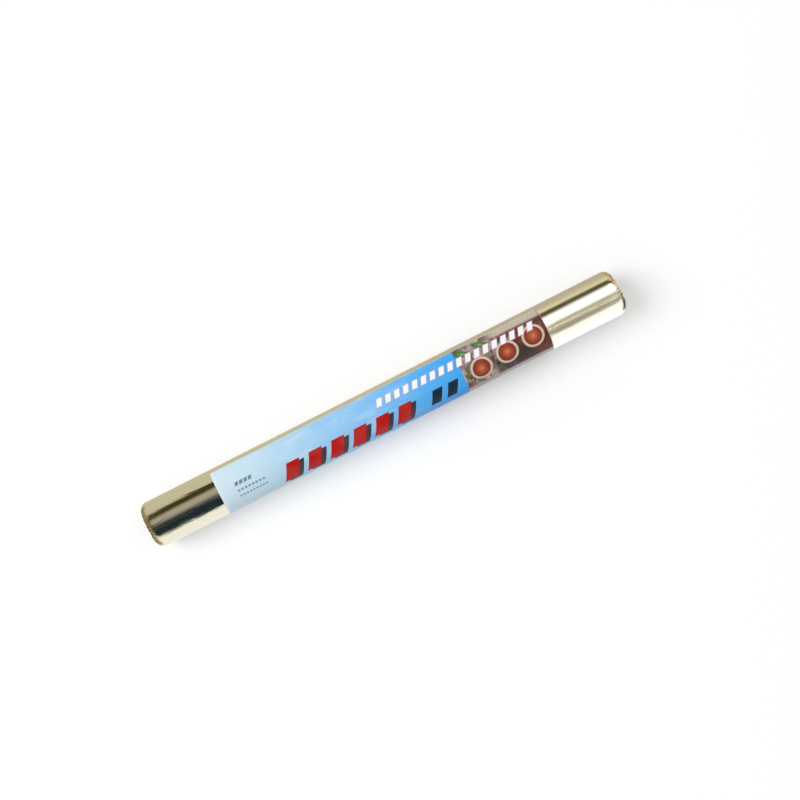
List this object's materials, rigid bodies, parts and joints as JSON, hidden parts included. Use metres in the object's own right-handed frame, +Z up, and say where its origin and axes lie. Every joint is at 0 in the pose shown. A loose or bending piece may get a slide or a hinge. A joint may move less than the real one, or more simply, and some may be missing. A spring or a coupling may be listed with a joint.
{
  "type": "aluminium foil roll",
  "caption": "Slim roll of household foil with gathered, pressed-in ends and a round throat, wound on a cardboard tube, with a paper label round its middle.",
  "frame": {"origin": "centre of the roll's footprint on the floor, under the middle of its length", "axes": "+X along the roll towards its right end as seen with the label's upper edge at the back, +Z up"},
  "size_m": [0.286, 0.0262, 0.0262],
  "materials": {
    "foil": "polished",
    "core_board": "matte",
    "label_paper": "satin"
  },
  "bodies": {
    "root": {"foil_roll": "foil", "core_tube": "core_board", "label": "label_paper"}
  },
  "joints": []
}
